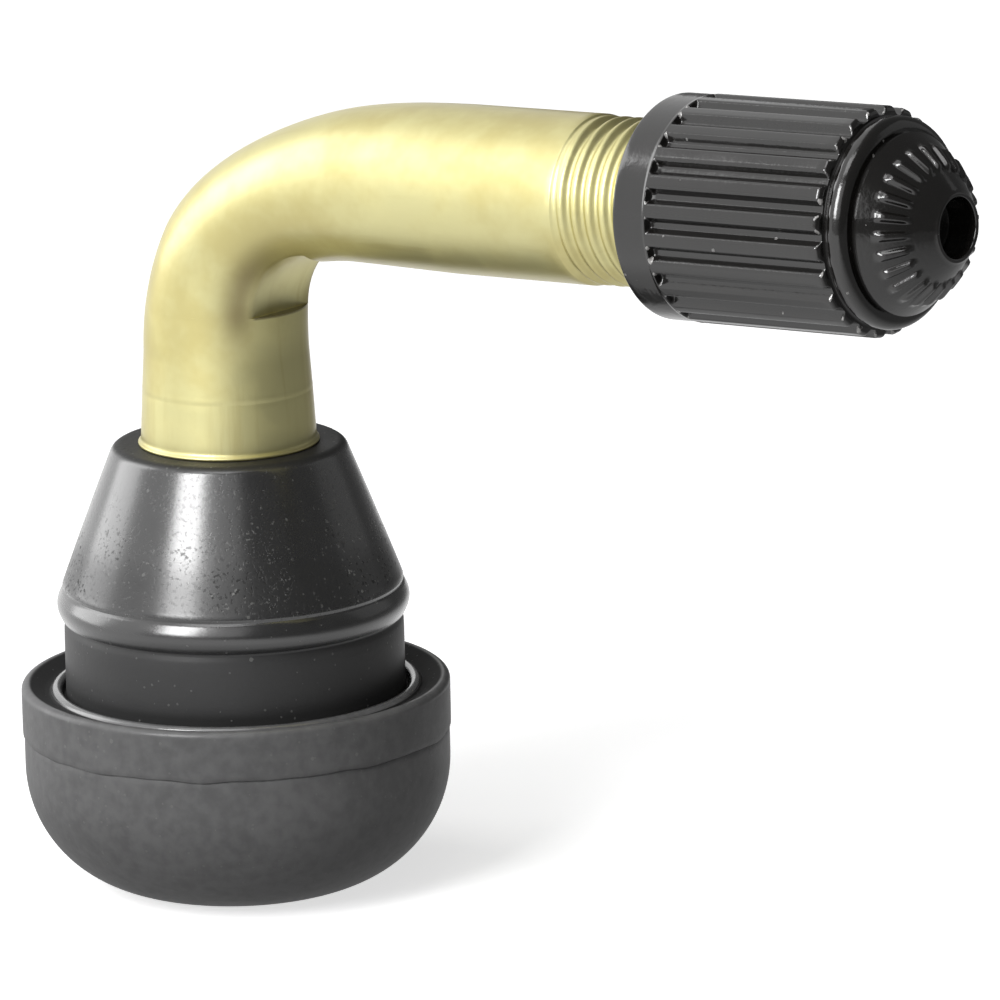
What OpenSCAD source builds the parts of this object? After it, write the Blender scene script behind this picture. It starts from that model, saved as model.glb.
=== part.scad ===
// Snap-in tyre valve: a rubber base, a bent brass stem, a valve core and a ribbed plastic cap.
// Millimetres. Z is the axis of the base, the underside is z = 0 and the arm points along +X.

/* [Rubber base] */
// Diameter of the flange that seals against the inside of the rim
flange_d = 20.4; // [18.5:0.1:24]
// Height of the flange's rim above the underside
flange_h = 9.95; // [9:0.05:12]
// Radius of the rounded underside
bottom_round = 6; // [4:0.1:6.5]
// Distance of the mould line below the flange's rim
parting_drop = 2.45; // [1.5:0.05:2.8]
// Step between the two mould halves
parting_step = 0.07; // [0.02:0.01:0.2]
// Depth of the dish in the flange's upper face
dish = 0.35; // [0.1:0.05:0.6]
// Diameter of the neck that sits in the hole of the rim
neck_d = 16.15; // [15.4:0.05:16.6]
// Height of the neck, which takes the thickness of the rim
neck_h = 3.5; // [2:0.1:5]
// Diameter of the bead that snaps through the hole
bead_d = 16.7; // [16.3:0.05:17.5]
// Height of the bead
bead_h = 1.42; // [1:0.02:2.5]
// Height of the cone above the bead
cone_h = 6.93; // [5:0.01:9]
// Swell of the cone's side
cone_swell = 0.02; // [0:0.02:0.3]
// Diameter of the collar on top of the cone
collar_d = 11.36; // [10.6:0.1:13]
// Rounding of the collar's edge
collar_round = 0.55; // [0.2:0.05:0.8]
// Diameter of the air inlet in the underside
inlet_d = 3.4; // [2.8:0.1:5]

/* [Stem] */
// Height at which the arm's axis meets the axis of the base
corner_z = 34.54; // [33:0.1:40]
// Rise of the arm above square, in degrees
arm_rise = 2.9; // [0:0.1:10]
// Bend radius of the tube's middle line, as the outside of the bend shows it
bend_r = 9; // [8.4:0.05:10]
// Bend radius of the middle line that the inside of the bend follows
tight_r = 6.78; // [6:0.02:8]
// Radius of the middle line where the outside of the bend is flattened
flat_r = 23.6; // [18:0.1:30]
// Distance from the axis of the base at which that flattening ends, along the arm
flat_s = 13.7; // [12:0.1:15]
// Outside diameter of the bent tube
tube_d = 7.82; // [7.7:0.02:8.2]
// Depth of the flat that the bending roll pressed into the inside of the bend
press_depth = 0.56; // [0.3:0.01:0.8]
// Angle round the bend at which that flat begins
press_from = 1; // [1:1:20]
// Diameter of the tube where it leaves the rubber
foot_d = 8.3; // [8.1:0.05:9]
// Height of the foot above the rubber
foot_h = 2.65; // [1:0.1:3.5]
// Drop in radius at the top of the foot
foot_step = 0.05; // [0.02:0.01:0.12]
// Width of the lip that lies on the rubber
lip_w = 0.16; // [0.05:0.01:0.4]
// Height of the lip
lip_h = 0.32; // [0.2:0.02:0.6]
// Height of the stem's lower end above the underside
root_z = 1.6; // [1:0.1:3]
// Diameter of the stem inside the rubber
root_d = 7.6; // [6.5:0.1:8]
// Diameter of the anchor rings inside the rubber
anchor_d = 10.4; // [9:0.1:11]
// Height of one anchor ring
anchor_h = 1.4; // [1:0.1:2]
// Number of anchor rings
anchors = 3; // [1:1:3]
// Distance from the axis of the base to the mouth, along the arm
mouth_s = 37.6; // [36:0.1:44]
// Outside diameter of the cap thread (8V1)
thread_d = 7.7; // [7.4:0.02:7.8]
// Length of the cap thread
thread_l = 14.9; // [11:0.1:16]
// Pitch of the cap thread (32 turns to the inch)
thread_p = 0.79375; // [0.7:0.00625:1]
// Depth of the cap thread
thread_h = 0.4; // [0.2:0.02:0.46]
// Chamfer at the mouth
mouth_chamfer = 0.45; // [0.2:0.05:0.6]
// Diameter of the air passage
passage_d = 2.6; // [2:0.1:3]

/* [Valve core] */
// Outside diameter of the core's plug (5V1)
plug_d = 5.2; // [4.9:0.05:5.3]
// Depth of the plug's top below the mouth
plug_top = 0.75; // [0.5:0.05:1.5]
// Height of the bridge on the plug
bridge_h = 1.25; // [0.8:0.05:1.6]
// Width of the bridge between its flats
bridge_w = 2.1; // [1.7:0.05:2.4]
// Length of the threaded part of the plug
plug_l = 3.2; // [2.5:0.1:4]
// Diameter of the air way through the plug
plug_bore = 3; // [2.8:0.05:3.2]
// Outside diameter of the barrel
barrel_d = 3.5; // [3.3:0.05:3.7]
// Length of the barrel below the plug
barrel_l = 8.8; // [8:0.1:10]
// Inside diameter of the barrel
barrel_bore = 2.3; // [2.15:0.05:2.5]
// Height of the floor at the barrel's lower end
barrel_floor = 1.1; // [0.7:0.1:1.5]
// Length of the barrel's neck inside the plug
barrel_neck = 1; // [0.5:0.1:1.5]
// Length of the sealing cone on the barrel
cone_seal_l = 1.1; // [0.8:0.1:1.6]
// Depth from the plug's lower end to the seat of the sealing cone
seat_drop = 1.45; // [1.2:0.05:2]
// Diameter of the chamber below the seat
chamber_d = 3.96; // [3.85:0.02:4.2]
// Depth of the chamber below the mouth
chamber_l = 20; // [18.5:0.1:22]
// Diameter of the pin
pin_d = 0.9; // [0.7:0.05:1]
// Depth of the pin's end below the mouth
pin_top = 0.5; // [0.2:0.05:0.7]
// Diameter of the pin's spring collar
pin_collar_d = 2; // [1.8:0.05:2.05]
// Height of the pin's spring collar
pin_collar_h = 0.3; // [0.2:0.05:0.5]
// Diameter of the cup that carries the valve seal
cup_d = 3.3; // [3:0.05:3.5]
// Wall of the cup
cup_wall = 0.2; // [0.15:0.05:0.3]
// Thickness of the valve seal
valve_seal_h = 0.9; // [0.6:0.05:1.2]
// Part of the valve seal that stands out of the cup
valve_seal_proud = 0.35; // [0.2:0.05:0.5]
// Length of the riveted end of the pin below the cup
rivet_h = 0.45; // [0.3:0.05:0.8]
// Diameter of the riveted end of the pin
rivet_d = 1.5; // [1.2:0.05:1.8]
// Diameter of the spring wire
wire_d = 0.24; // [0.16:0.02:0.28]
// Number of turns of the spring
spring_turns = 7; // [5:1:9]

/* [Cap] */
// Diameter of the plain band at the open end
cap_d = 10.32; // [10.1:0.02:12]
// Length of the arm inside the cap
cap_cover = 10.4; // [9:0.1:12]
// Length of the plain band
band_l = 1.75; // [1:0.05:3]
// Length of the band and the ribs together
grip_l = 11.4; // [10:0.1:13]
// Amount by which the ribs lie under the band
rib_drop = 0.04; // [0:0.01:0.15]
// Number of ribs
ribs = 24; // [12:1:28]
// Width of a groove between two ribs
groove_w = 0.56; // [0.3:0.02:0.7]
// Diameter of the shoulder ring beyond the ribs
ring_d = 9.5; // [9.1:0.02:9.7]
// Length of the shoulder ring
ring_l = 0.8; // [0.6:0.05:1.2]
// Diameter of the crown's foot
crown_d = 8.2; // [7.6:0.1:8.6]
// Height of the crown
crown_h = 2.6; // [1.8:0.05:3]
// Swell of the crown's side
crown_swell = 0.1; // [0:0.01:0.3]
// Diameter of the recess in the tip
tip_d = 2.72; // [2:0.04:3]
// Depth of the recess in the tip
tip_depth = 1.5; // [0.5:0.1:1.8]
// Width of the rim round the recess
tip_rim = 0.16; // [0.08:0.02:0.3]
// Thickness of the sealing washer inside the cap
washer_h = 0.8; // [0.5:0.05:1]
// Hole of the sealing washer
washer_hole = 4.4; // [4:0.1:5]
// Diameter of the hollow above the washer
hollow_d = 4.6; // [4:0.1:5.2]
// Height of the hollow above the washer
hollow_h = 1; // [0.4:0.1:1.2]

/* [Fits] */
// Gap between the cap's bore and the thread, on the radius
thread_gap = 0.1; // [0.05:0.01:0.2]
// Gap of the core's pieces in their bores, on the radius
core_gap = 0.05; // [0.03:0.01:0.08]
// Gap between two faces that seat on each other
seat_gap = 0.02; // [0.01:0.01:0.05]

/* [Hidden] */
$fn = 64;

flange_r = flange_d / 2;
wall_r = flange_r - parting_step;
parting_z = flange_h - parting_drop;
bottom_r = min(bottom_round, parting_z - parting_step);
rim_round = 0.22;
neck_r = neck_d / 2;
gutter_w = 0.38;
gutter_h = 0.25;
dish_r = neck_r + gutter_w;
dish_z = flange_h - dish;
neck_top = dish_z + neck_h;
undercut = 0.1;
undercut_h = 0.3;
bead_foot_r = neck_r + undercut / 2;
bead_top = neck_top + bead_h;
crease = 0.09;
crease_h = 0.16;
cone_in = 0.22;
cone_foot_r = bead_d / 2 - cone_in;
bead_swell = bead_d / 2 - (bead_foot_r + cone_foot_r) / 2;
base_top = bead_top + cone_h;
collar_r = collar_d / 2;
collar_c = [collar_r - collar_round, base_top - collar_round];
cone_lean = atan((cone_foot_r - collar_r) / cone_h);

turn = 90 - arm_rise;
tangent = bend_r * tan(turn / 2);
bend_z = corner_z - tangent;
tube_r = tube_d / 2;
bend_lap = 2;
bend_ease = 0.02;
die_gap = 0.03;
die_turn = 32;
die_side = tube_r + 1;
die_depth = tube_r + 2;
die_lap = 0.1;
die_run = (bend_r - tight_r) * tan(turn / 2);

thread_r = thread_d / 2;
thread_s = mouth_s - thread_l;
runout = thread_p / 2;
thread_turns = floor((thread_l - mouth_chamfer) / thread_p) - 1;
passage_r = passage_d / 2;
anchor_gap = (base_top - root_z) / (anchors + 1);
anchor_bevel = 0.3;

plug_r = plug_d / 2;
plug_bore_r = plug_bore / 2;
core_bore_r = plug_r + core_gap;
plug_s = mouth_s - plug_top - bridge_h;
plug_end = plug_s - plug_l;
plug_bevel = 0.3;
seat_s = plug_end - seat_drop;
seat_end = seat_s - cone_seal_l;
chamber_r = chamber_d / 2;
chamber_s = mouth_s - chamber_l;
barrel_r = barrel_d / 2;
barrel_top = plug_end - seat_gap;
barrel_end = barrel_top - barrel_l;
barrel_bore_r = barrel_bore / 2;
pin_r = pin_d / 2;
pin_gap = 2 * core_gap;
floor_bore_r = pin_r + 6 * core_gap;
floor_top = barrel_end + barrel_floor;
collar_s = plug_end - 2 * pin_collar_h;
cup_r = cup_d / 2;
seal_top = barrel_end - seat_gap;
seal_end = seal_top - valve_seal_h;
seal_r = cup_r - cup_wall;
cup_top = seal_top - valve_seal_proud;
cup_end = seal_end - cup_wall;
rivet_bevel = 0.15;
wire_r = wire_d / 2;
spring_r = (pin_r + core_gap + barrel_bore_r - core_gap) / 2;
spring_top = collar_s - pin_collar_h - wire_r;
spring_end = floor_top + wire_r;
spring_steps = 12;
spring_sides = 6;

cap_s = mouth_s - cap_cover;
cap_r = cap_d / 2;
rib_r = cap_r - rib_drop;
groove_r = groove_w / 2;
groove_turn = 0.9;
groove_s = cap_s + band_l + 2 * rib_drop + 0.1;
rib_end = cap_s + grip_l;
ring_r = ring_d / 2;
ring_gap = 0.22;
ring_s = rib_end + ring_gap;
ring_end = ring_s + ring_l;
ring_lean = 0.42;
ring_round = 0.12;
waist = 0.31;
waist_in = 0.1;
crown_s = ring_end + waist;
crown_r = crown_d / 2;
tip_r = tip_d / 2;
tip_s = crown_s + crown_h;
cap_bevel = 0.16;
cap_bore_r = thread_r + thread_gap;
cap_lead = 0.35;
washer_s = mouth_s + seat_gap;
washer_top = washer_s + washer_h;
roof_s = washer_top + seat_gap;
hollow_s = roof_s + hollow_h;

reach = 100;

// Points of a circular arc from angle a to angle b
function arc(c, r, a, b, n = 8) = [for (i = [0:n]) c + r * [cos(a + (b - a) * i / n), sin(a + (b - a) * i / n)]];

// Points from p to q that swell sideways by s at the middle
function bow(p, q, s, n = 10) =
    let (d = q - p, side = [d[1], -d[0]] / norm(d))
    [for (i = [0:n]) p + d * i / n + side * s * sin(180 * i / n)];

// Half outline of the rubber base, from the axis at the underside round to the axis at the top
function base_outline() = concat(
    [[0, 0]],
    arc([wall_r - bottom_r, bottom_r], bottom_r, -90, 0, 14),
    [[wall_r, parting_z], [flange_r, parting_z + parting_step]],
    arc([flange_r - rim_round, flange_h - rim_round], rim_round, 0, 90, 4),
    [[dish_r, dish_z], [dish_r - gutter_w / 3, dish_z - gutter_h * 0.7]],
    [[neck_r + gutter_w / 4, dish_z - gutter_h], [neck_r, dish_z - gutter_h / 3]],
    [[neck_r, neck_top - undercut_h], [neck_r - undercut, neck_top - undercut_h / 2]],
    [[neck_r - undercut / 2, neck_top]],
    bow([bead_foot_r, neck_top], [cone_foot_r, bead_top], bead_swell),
    [[cone_foot_r - crease, bead_top + crease_h / 2]],
    bow([cone_foot_r - crease / 3, bead_top + crease_h],
        collar_c + collar_round * [cos(cone_lean), sin(cone_lean)], cone_swell),
    arc(collar_c, collar_round, cone_lean, 90, 6),
    [[0, base_top]]);

// Half outline of the upright part of the stem, with the anchor rings that hold it in the rubber
function riser_outline() = concat(
    [[0, root_z], [root_d / 2, root_z]],
    [for (i = [1:anchors]) let (z = root_z + anchor_gap * i - anchor_gap / 2)
        each [[root_d / 2, z], [anchor_d / 2 - anchor_bevel, z], [anchor_d / 2, z + anchor_bevel],
              [anchor_d / 2, z + anchor_h - anchor_bevel], [root_d / 2, z + anchor_h]]],
    [[root_d / 2, base_top], [foot_d / 2 + lip_w - lip_h / 4, base_top]],
    [[foot_d / 2 + lip_w, base_top + lip_h / 4], [foot_d / 2 + lip_w - lip_h / 4, base_top + lip_h * 0.8]],
    [[foot_d / 2, base_top + lip_h]],
    [[(foot_d / 2 + tube_r) / 2 + foot_step, base_top + foot_h]],
    [[(foot_d / 2 + tube_r) / 2, base_top + foot_h + foot_step]],
    [[tube_r, bend_z], [0, bend_z]]);

// Outline of the cap thread, as a row of rings at its pitch
function thread_outline() = [for (i = [0:thread_turns - 1]) let (s = thread_s + thread_p * i)
    each [[thread_r, s], [thread_r, s + thread_p / 4],
          [thread_r - thread_h, s + thread_p / 2], [thread_r - thread_h, s + thread_p * 5 / 8]]];

// A closed tube through rings of equal size
module skin(rings) {
    m = len(rings[0]);
    last = len(rings) - 1;
    walls = [for (j = [0:last - 1], i = [0:m - 1])
        let (k = (i + 1) % m)
        each [[j * m + i, (j + 1) * m + k, j * m + k], [j * m + i, (j + 1) * m + i, (j + 1) * m + k]]];
    ends = [[for (i = [0:m - 1]) i], [for (i = [m - 1:-1:0]) last * m + i]];
    polyhedron([for (ring = rings) each ring], concat(walls, ends), convexity = 6);
}

module on_arm() {
    translate([0, 0, corner_z]) rotate([0, turn, 0]) children();
}

module revolve(outline) {
    rotate_extrude() polygon(outline);
}

// A solid of revolution between two radii, from the lower to the upper place along the arm
module sleeve(inner, outer, low, high) {
    revolve([[inner, low], [outer, low], [outer, high], [inner, high]]);
}

module riser() {
    revolve(riser_outline());
}

// Turns a shape from the XY plane into the plane of a bend of radius r, with X at the end of the bend
module in_bend(r) {
    translate([r, 0, corner_z - r * tan(turn / 2)]) rotate([90, 0, 0]) rotate([0, 0, 180 - turn]) children();
}

// A round bar round the bend of the stem, a little thinner than r and lapped into the straights
module bend(r) {
    in_bend(bend_r) rotate([0, 0, -bend_lap])
        rotate_extrude(angle = turn + 2 * bend_lap) translate([bend_r, 0]) circle(r = r - bend_ease);
}

// The grooved roll inside the bend, with a straight run along the arm and one along the riser
module inner_roll() {
    module section() difference() {
        translate([0, -die_side]) square([tight_r, 2 * die_side]);
        translate([tight_r, 0]) circle(r = tube_r + die_gap);
    }
    in_bend(tight_r) {
        rotate_extrude(angle = turn) section();
        rotate([90, 0, 0]) translate([0, 0, -die_lap]) linear_extrude(die_run + die_lap) section();
        rotate([0, 0, turn]) rotate([90, 0, 0]) translate([0, 0, -die_run]) linear_extrude(die_run + die_lap) section();
    }
}

// The band of that roll which presses a flat into the inside of the bend
module flat_roll() {
    in_bend(tight_r) rotate_extrude(angle = turn - press_from)
        translate([0, -die_side]) square([tight_r - tube_r + press_depth, 2 * die_side]);
}

// The grooved die outside the bend, which flattens it towards the arm
module outer_die() {
    on_arm() translate([flat_r, 0, flat_s]) rotate([90, 0, 0]) rotate([0, 0, 180]) rotate_extrude(angle = die_turn)
        difference() {
            translate([flat_r, -die_side]) square([die_depth, 2 * die_side]);
            translate([flat_r, 0]) circle(r = tube_r + die_gap);
        }
}

module arm() {
    on_arm() revolve(concat(
        [[0, tangent], [tube_r, tangent], [tube_r, thread_s - runout]],
        thread_outline(),
        [[thread_r, thread_s + thread_p * thread_turns]],
        [[thread_r, mouth_s - mouth_chamfer], [thread_r - mouth_chamfer, mouth_s], [0, mouth_s]]));
}

// The air way: up the stem, round the bend and into the chamber of the core
module air_way() {
    translate([0, 0, -reach / 2]) cylinder(r = passage_r, h = bend_z + reach / 2);
    bend(passage_r);
    on_arm() revolve([
        [0, tangent], [passage_r, tangent], [passage_r, chamber_s],
        [chamber_r, chamber_s + chamber_r - passage_r], [chamber_r, seat_end],
        [core_bore_r, seat_s], [core_bore_r, mouth_s - mouth_chamfer / 2],
        [core_bore_r + mouth_chamfer / 2, mouth_s], [core_bore_r + mouth_chamfer / 2, mouth_s + 1],
        [0, mouth_s + 1]]);
}

module rubber_base() {
    color([0.13, 0.13, 0.135]) difference() {
        revolve(base_outline());
        riser();
        translate([0, 0, -1]) cylinder(r = inlet_d / 2, h = root_z + 1);
    }
}

module stem() {
    color([0.80, 0.74, 0.45]) difference() {
        union() {
            riser();
            bend(tube_r);
            arm();
        }
        inner_roll();
        flat_roll();
        outer_die();
        air_way();
    }
}

module core_plug() {
    color([0.78, 0.66, 0.36]) on_arm() difference() {
        union() {
            revolve([
                [plug_bore_r, plug_end], [plug_r - plug_bevel, plug_end], [plug_r, plug_end + plug_bevel],
                [plug_r, plug_s], [plug_bore_r, plug_s]]);
            intersection() {
                translate([0, 0, plug_s - plug_bevel]) cylinder(r = plug_r - core_gap, h = bridge_h + plug_bevel);
                translate([-plug_r, -bridge_w / 2, plug_s - plug_bevel])
                    cube([plug_d, bridge_w, bridge_h + plug_bevel]);
            }
        }
        translate([0, 0, plug_s - 1]) cylinder(r = pin_r + pin_gap, h = bridge_h + 2);
    }
}

module core_barrel() {
    neck_end = barrel_top + barrel_neck;
    neck_out = plug_bore_r - core_gap;
    color([0.74, 0.60, 0.30]) on_arm() revolve([
        [floor_bore_r, barrel_end], [barrel_r, barrel_end], [barrel_r, barrel_top], [neck_out, barrel_top],
        [neck_out, neck_end], [barrel_bore_r, neck_end], [barrel_bore_r, floor_top], [floor_bore_r, floor_top]]);
}

// The ring that seals the barrel against the conical seat of the stem
module barrel_seal() {
    inner = barrel_r + seat_gap;
    color([0.55, 0.12, 0.10]) on_arm() revolve([
        [inner, seat_end - seat_gap], [chamber_r - seat_gap, seat_end - seat_gap], [chamber_r - seat_gap, seat_end],
        [core_bore_r - seat_gap, seat_s], [core_bore_r - seat_gap, seat_s + seat_drop / 3],
        [inner, seat_s + seat_drop / 3]]);
}

module core_pin() {
    color([0.80, 0.70, 0.42]) on_arm() revolve([
        [0, cup_end - rivet_h], [rivet_d / 2 - rivet_bevel, cup_end - rivet_h],
        [rivet_d / 2, cup_end - rivet_h + rivet_bevel], [rivet_d / 2, cup_end - seat_gap],
        [pin_r, cup_end - seat_gap], [pin_r, collar_s - pin_collar_h],
        [pin_collar_d / 2, collar_s - pin_collar_h], [pin_collar_d / 2, collar_s], [pin_r, collar_s],
        [pin_r, mouth_s - pin_top - rivet_bevel], [pin_r - rivet_bevel, mouth_s - pin_top],
        [0, mouth_s - pin_top]]);
}

module plunger_cup() {
    hole = pin_r + seat_gap;
    color([0.76, 0.62, 0.32]) on_arm() revolve([
        [hole, cup_end], [cup_r, cup_end], [cup_r, cup_top], [cup_r - cup_wall, cup_top],
        [cup_r - cup_wall, seal_end], [hole, seal_end]]);
}

module plunger_seal() {
    color([0.16, 0.16, 0.17]) on_arm()
        sleeve(pin_r + seat_gap, seal_r - seat_gap, seal_end + seat_gap, seal_top);
}

module core_spring() {
    steps = spring_turns * spring_steps;
    color([0.72, 0.73, 0.74]) on_arm() skin([for (j = [0:steps])
        let (a = 360 * j / spring_steps, s = spring_end + (spring_top - spring_end) * j / steps)
        [for (i = [0:spring_sides - 1]) let (b = -360 * i / spring_sides)
            [cos(a), sin(a), 0] * (spring_r + wire_r * cos(b)) + [0, 0, s + wire_r * sin(b)]]]);
}

// Half outline of the cap's outside, from the open end to the tip
function cap_outline() = concat(
    [[0, cap_s], [cap_r - cap_bevel, cap_s], [cap_r, cap_s + cap_bevel], [cap_r, cap_s + band_l]],
    [[rib_r, cap_s + band_l + rib_drop], [rib_r, rib_end - cap_bevel], [rib_r - cap_bevel, rib_end]],
    [[ring_r - ring_round, rib_end], [ring_r - ring_round, ring_s], [ring_r, ring_s + ring_round]],
    [[ring_r - ring_lean + ring_round, ring_end - ring_round], [ring_r - ring_lean - ring_round, ring_end]],
    [[crown_r - waist_in, ring_end], [crown_r - waist_in, crown_s - waist_in]],
    bow([crown_r, crown_s], [tip_r + tip_rim, tip_s], crown_swell),
    [[0, tip_s]]);

module cap() {
    color([0.10, 0.10, 0.10]) on_arm() difference() {
        revolve(cap_outline());
        revolve([
            [0, cap_s - 1], [cap_bore_r + cap_lead, cap_s - 1], [cap_bore_r + cap_lead, cap_s],
            [cap_bore_r, cap_s + cap_lead], [cap_bore_r, roof_s], [hollow_d / 2, roof_s],
            [hollow_d / 2, hollow_s], [0, hollow_s]]);
        translate([0, 0, tip_s - tip_depth]) cylinder(r = tip_r, h = tip_depth + 1);
        for (i = [0:ribs - 1]) rotate(360 * (i + groove_turn) / ribs) translate([rib_r, 0, groove_s])
            cylinder(r = groove_r, h = rib_end - groove_s + ring_gap / 2);
    }
}

module cap_seal() {
    color([0.20, 0.20, 0.21]) on_arm() sleeve(washer_hole / 2, cap_bore_r - thread_gap, washer_s, washer_top);
}

rubber_base();
stem();
cap();
cap_seal();
core_plug();
core_barrel();
barrel_seal();
core_pin();
plunger_cup();
plunger_seal();
core_spring();
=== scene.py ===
"""Dressed model of a snap-in tyre valve with a bent brass stem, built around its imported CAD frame."""

import math

import bmesh
import bpy
import numpy as np
from mathutils import Matrix


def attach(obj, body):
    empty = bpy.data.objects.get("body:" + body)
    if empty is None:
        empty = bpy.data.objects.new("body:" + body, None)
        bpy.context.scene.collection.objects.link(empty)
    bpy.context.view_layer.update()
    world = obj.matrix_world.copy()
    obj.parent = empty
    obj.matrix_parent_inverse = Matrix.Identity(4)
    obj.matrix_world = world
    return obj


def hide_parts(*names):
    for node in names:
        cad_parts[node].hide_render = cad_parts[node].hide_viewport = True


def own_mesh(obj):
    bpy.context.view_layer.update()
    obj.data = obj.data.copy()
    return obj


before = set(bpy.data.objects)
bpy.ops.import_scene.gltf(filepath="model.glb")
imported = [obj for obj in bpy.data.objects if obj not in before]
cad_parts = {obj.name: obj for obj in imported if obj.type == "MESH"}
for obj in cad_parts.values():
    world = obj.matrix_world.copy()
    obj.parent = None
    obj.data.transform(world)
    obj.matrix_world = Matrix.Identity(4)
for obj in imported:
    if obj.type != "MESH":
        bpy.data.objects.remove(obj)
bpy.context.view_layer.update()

MM = 0.001
TAU = 2 * math.pi

# Sizes in millimetres, as the part's source has them. The riser of the stem stands on the axis of the base.
# Its arm starts at the corner where the two middle lines would meet: s is a place along the arm from there.
# The legs of a bend are LEG times its radius.
CORNER_Z = 34.54
TURN = math.radians(87.1)
LEG = math.tan(TURN / 2)
BEND_R = 9.0
BEND_Z = CORNER_Z - BEND_R * LEG
TIGHT_R = 6.78
TIGHT_Z = CORNER_Z - TIGHT_R * LEG
TIGHT_S = TIGHT_R * LEG
TIGHT_C = np.array([TIGHT_R, 0, TIGHT_Z])
FLAT_R = 23.6
FLAT_S = 13.7
TUBE_R = 3.91
PRESS_DEPTH = 0.56
PRESS_FROM = math.radians(1)
PRESS_X = TUBE_R - PRESS_DEPTH
LEDGE_Z = TIGHT_Z + 0.06
BASE_TOP = 21.45
FOOT_R = 4.15
FOOT_TOP = BASE_TOP + 2.65
FOOT_TOP_R = (FOOT_R + TUBE_R) / 2
LIP_W = 0.16
LIP_H = 0.32
ROOT_Z = 1.6
ROOT_R = 3.8
ANCHORS = 3
ANCHOR_R = 5.2
ANCHOR_H = 1.4
ANCHOR_EDGE = 0.3
ANCHOR_GAP = (BASE_TOP - ROOT_Z) / (ANCHORS + 1)
ANCHOR_Z = [ROOT_Z + ANCHOR_GAP * i - ANCHOR_GAP / 2 for i in range(1, ANCHORS + 1)]
MOUTH_S = 37.6
MOUTH_EDGE = 0.45
THREAD_R = 3.85
THREAD_P = 0.79375
THREAD_S = MOUTH_S - 14.9
CHAMBER_R = 2.65
WELL_R = 1.98
PASSAGE_R = 1.3

ARM = np.array([math.sin(TURN), 0, math.cos(TURN)])
ARM_UP = np.array([-math.cos(TURN), 0, math.sin(TURN)])
ACROSS = np.array([0.0, 1.0, 0.0])
CORNER = np.array([0, 0, CORNER_Z])


def mix(a, b, t):
    return a + (b - a) * t


def ease(x):
    """Smooth step from 0 to 1."""
    x = np.clip(x, 0, 1)
    return x * x * (3 - 2 * x)


def fade_in(x, start, length):
    """Smooth step from 0 at start to 1 a length further on."""
    return ease((x - start) / length)


def hump(x):
    """A smooth hump, 1 at nothing and fading to both sides."""
    return np.exp(-(x**2))


def soft_max(a, b, width):
    """The greater of two, rounded where they are closer than width."""
    h = np.maximum(width - np.abs(a - b), 0) / width
    return np.maximum(a, b) + h * h * width / 4


def arc(centre, radius, start, end, count):
    """Points of a circular arc, angles in degrees."""
    turn = np.radians(np.linspace(start, end, count))
    return [(centre[0] + radius * math.cos(t), centre[1] + radius * math.sin(t)) for t in turn]


def line(p, q, count):
    """Points from p towards q, without q."""
    return [(mix(p[0], q[0], i / count), mix(p[1], q[1], i / count)) for i in range(count)]


def bow(p, q, swell, count):
    """Points from p to q that swell sideways in the middle."""
    p, q = np.array(p), np.array(q)
    d = q - p
    side = np.array([d[1], -d[0]]) / np.linalg.norm(d)
    return [tuple(p + d * t + side * swell * math.sin(math.pi * t)) for t in np.linspace(0, 1, count)]


def wander(angle, seed, waves):
    """A smooth uneven line round a circle, about -1 to 1."""
    rng = np.random.default_rng(seed)
    total = np.zeros_like(angle)
    for k in waves:
        total += math.sqrt(2 / len(waves)) * rng.uniform(0.6, 1) * np.sin(k * angle + rng.uniform(0, TAU))
    return total


def new_piece(name, verts, faces):
    """An object with a mesh of its own, in metres."""
    mesh = bpy.data.meshes.new(name)
    mesh.from_pydata(verts, [], faces)
    piece = bpy.data.objects.new(name, mesh)
    bpy.context.scene.collection.objects.link(piece)
    return piece


def ring_mesh(name, rings, closed):
    """A mesh over rings of points, closed back to the first ring or with a pole at each end."""
    rings = np.asarray(rings, float) * MM
    count, sides = rings.shape[:2]
    faces = []
    for i in range(count if closed else count - 1):
        a, b = i * sides, (i + 1) % count * sides
        for j in range(sides):
            k = (j + 1) % sides
            faces.append((a + j, a + k, b + k, b + j))
    return new_piece(name, rings.reshape(-1, 3).tolist(), faces)


def attribute(piece, name, kind, values):
    """Stores a value for each vertex of a piece."""
    made = piece.data.attributes.new(name, kind, "POINT")
    key = "vector" if kind == "FLOAT_VECTOR" else "value"
    made.data.foreach_set(key, np.asarray(values, np.float32).ravel())


def finish_mesh(piece, sharp_angle):
    """Closes the poles, turns the faces outwards and smooths all but the sharp edges."""
    tidy = bmesh.new()
    tidy.from_mesh(piece.data)
    bmesh.ops.remove_doubles(tidy, verts=tidy.verts, dist=1e-7)
    bmesh.ops.dissolve_degenerate(tidy, edges=tidy.edges, dist=1e-8)
    bmesh.ops.recalc_face_normals(tidy, faces=tidy.faces)
    tidy.to_mesh(piece.data)
    tidy.free()
    piece.data.polygons.foreach_set("use_smooth", [True] * len(piece.data.polygons))
    piece.data.set_sharp_from_angle(angle=math.radians(sharp_angle))


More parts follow.
